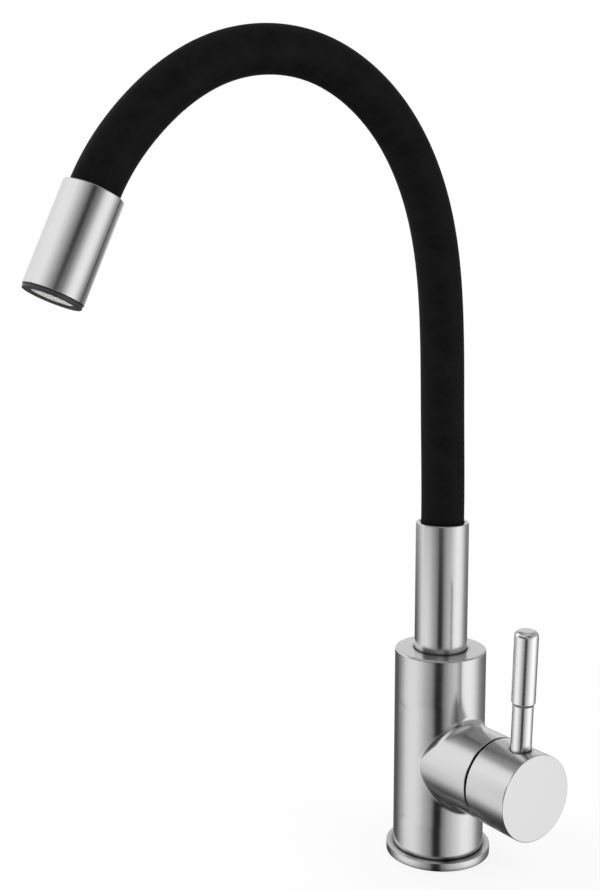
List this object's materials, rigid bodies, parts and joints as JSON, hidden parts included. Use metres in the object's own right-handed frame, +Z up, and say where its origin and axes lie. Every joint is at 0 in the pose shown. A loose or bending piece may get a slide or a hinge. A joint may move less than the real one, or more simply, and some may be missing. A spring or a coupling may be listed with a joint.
{
  "type": "kitchen faucet",
  "caption": "Single-lever kitchen mixer faucet: brushed steel body with a side handle, swivelling neck and bendable black hose spout ending in an aerator outlet.",
  "frame": {"origin": "centre of the base flange underside, where the faucet stands on the deck over its tap hole", "axes": "+Z up along the body and neck; the spout reaches out along -Y at rest; the side handle points along +X with its lever up"},
  "size_m": [0.094, 0.2378, 0.3953],
  "materials": {
    "brushed_steel": "fine brushed stainless steel, satin",
    "brass": "machined brass",
    "black_silicone": "matte black silicone",
    "black_rubber": "black sealing rubber",
    "white_plastic": "moulded white plastic",
    "dark_plastic": "moulded dark plastic",
    "ceramic": "lapped alumina, near white",
    "wound_steel": "plain steel wire and small steel parts",
    "tubing": "natural drinking-water tubing"
  },
  "bodies": {
    "root": {"base_flange": "brushed_steel", "base_gasket": "black_rubber", "body_shell": "brushed_steel", "waterway_core": "brass", "cartridge_base": "white_plastic", "cartridge_seal": "black_rubber", "fixed_disc": "ceramic", "cartridge_shell": "white_plastic", "cartridge_nut": "brass", "neck_slip_ring": "dark_plastic"},
    "carrier": {"stem_carrier": "dark_plastic", "stem_pin": "wound_steel"},
    "disc": {"moving_disc": "ceramic"},
    "handle": {"cartridge_stem": "brass", "handle_cap": "brushed_steel", "handle_screw": "wound_steel", "lever_stem": "brushed_steel", "lever_grip": "brushed_steel"},
    "neck": {"neck_tube": "brushed_steel", "neck_clip": "wound_steel", "upper_o_ring": "black_rubber", "lower_o_ring": "black_rubber", "lower_ferrule": "brass", "hose_sleeve_0": "black_silicone", "hose_core_0": "wound_steel", "water_tube_0": "tubing"},
    "link_1": {"hose_sleeve_1": "black_silicone", "hose_core_1": "wound_steel", "water_tube_1": "tubing"},
    "link_2": {"hose_sleeve_2": "black_silicone", "hose_core_2": "wound_steel", "water_tube_2": "tubing"},
    "link_3": {"hose_sleeve_3": "black_silicone", "hose_core_3": "wound_steel", "water_tube_3": "tubing"},
    "link_4": {"hose_sleeve_4": "black_silicone", "hose_core_4": "wound_steel", "water_tube_4": "tubing"},
    "link_5": {"hose_sleeve_5": "black_silicone", "hose_core_5": "wound_steel", "water_tube_5": "tubing"},
    "link_6": {"hose_sleeve_6": "black_silicone", "hose_core_6": "wound_steel", "water_tube_6": "tubing"},
    "link_7": {"hose_sleeve_7": "black_silicone", "hose_core_7": "wound_steel", "water_tube_7": "tubing"},
    "outlet": {"hose_sleeve_8": "black_silicone", "hose_core_8": "wound_steel", "water_tube_8": "tubing", "upper_ferrule": "brass", "outlet_shell": "brushed_steel", "aerator_housing": "dark_plastic", "aerator_gasket": "black_rubber", "aerator_screen": "wound_steel", "aerator_insert": "white_plastic"}
  },
  "joints": [
    {"name": "handle_turn", "type": "hinge", "parent": "root", "child": "carrier", "pos_m": [0.0315, 0, 0.051], "axis": [1, 0, 0], "range_deg": [-45, 45]},
    {"name": "handle_tilt", "type": "hinge", "parent": "carrier", "child": "handle", "pos_m": [0.0315, 0, 0.051], "axis": [0, 1, 0], "range_deg": [0, 12]},
    {"name": "disc_slide", "type": "slide", "parent": "carrier", "child": "disc", "axis": [0, 0, 1], "range_m": [0, 0.002]},
    {"name": "neck_swivel", "type": "hinge", "parent": "root", "child": "neck", "pos_m": [0, 0, 0.1049], "axis": [0, 0, 1], "continuous": true},
    {"name": "hose_joint_1", "type": "hinge", "parent": "neck", "child": "link_1", "pos_m": [0, 0, 0.1724], "axis": [1, 0, 0], "range_deg": [-26, 12]},
    {"name": "hose_joint_2", "type": "hinge", "parent": "link_1", "child": "link_2", "pos_m": [0, -0.00103, 0.22039], "axis": [1, 0, 0], "range_deg": [-26, 12]},
    {"name": "hose_joint_3", "type": "hinge", "parent": "link_2", "child": "link_3", "pos_m": [0, -0.00271, 0.26836], "axis": [0, 0.9994, 0.0349], "range_deg": [-20, 20]},
    {"name": "hose_joint_4", "type": "hinge", "parent": "link_3", "child": "link_4", "pos_m": [0, -0.01052, 0.3156], "axis": [1, 0, 0], "range_deg": [-26, 12]},
    {"name": "hose_joint_5", "type": "hinge", "parent": "link_4", "child": "link_5", "pos_m": [0, -0.03362, 0.35713], "axis": [1, 0, 0], "range_deg": [-26, 12]},
    {"name": "hose_joint_6", "type": "hinge", "parent": "link_5", "child": "link_6", "pos_m": [0, -0.07385, 0.38176], "axis": [0, 0.3256, 0.9455], "range_deg": [-20, 20]},
    {"name": "hose_joint_7", "type": "hinge", "parent": "link_6", "child": "link_7", "pos_m": [0, -0.1208, 0.3794], "axis": [1, 0, 0], "range_deg": [-26, 11]},
    {"name": "hose_joint_8", "type": "hinge", "parent": "link_7", "child": "outlet", "pos_m": [0, -0.16019, 0.35307], "axis": [1, 0, 0], "range_deg": [-26, 12]}
  ],
  "couplings": [
    {"joint": "disc_slide", "follows": "handle_tilt", "m_per_rad": 0.0093}
  ]
}
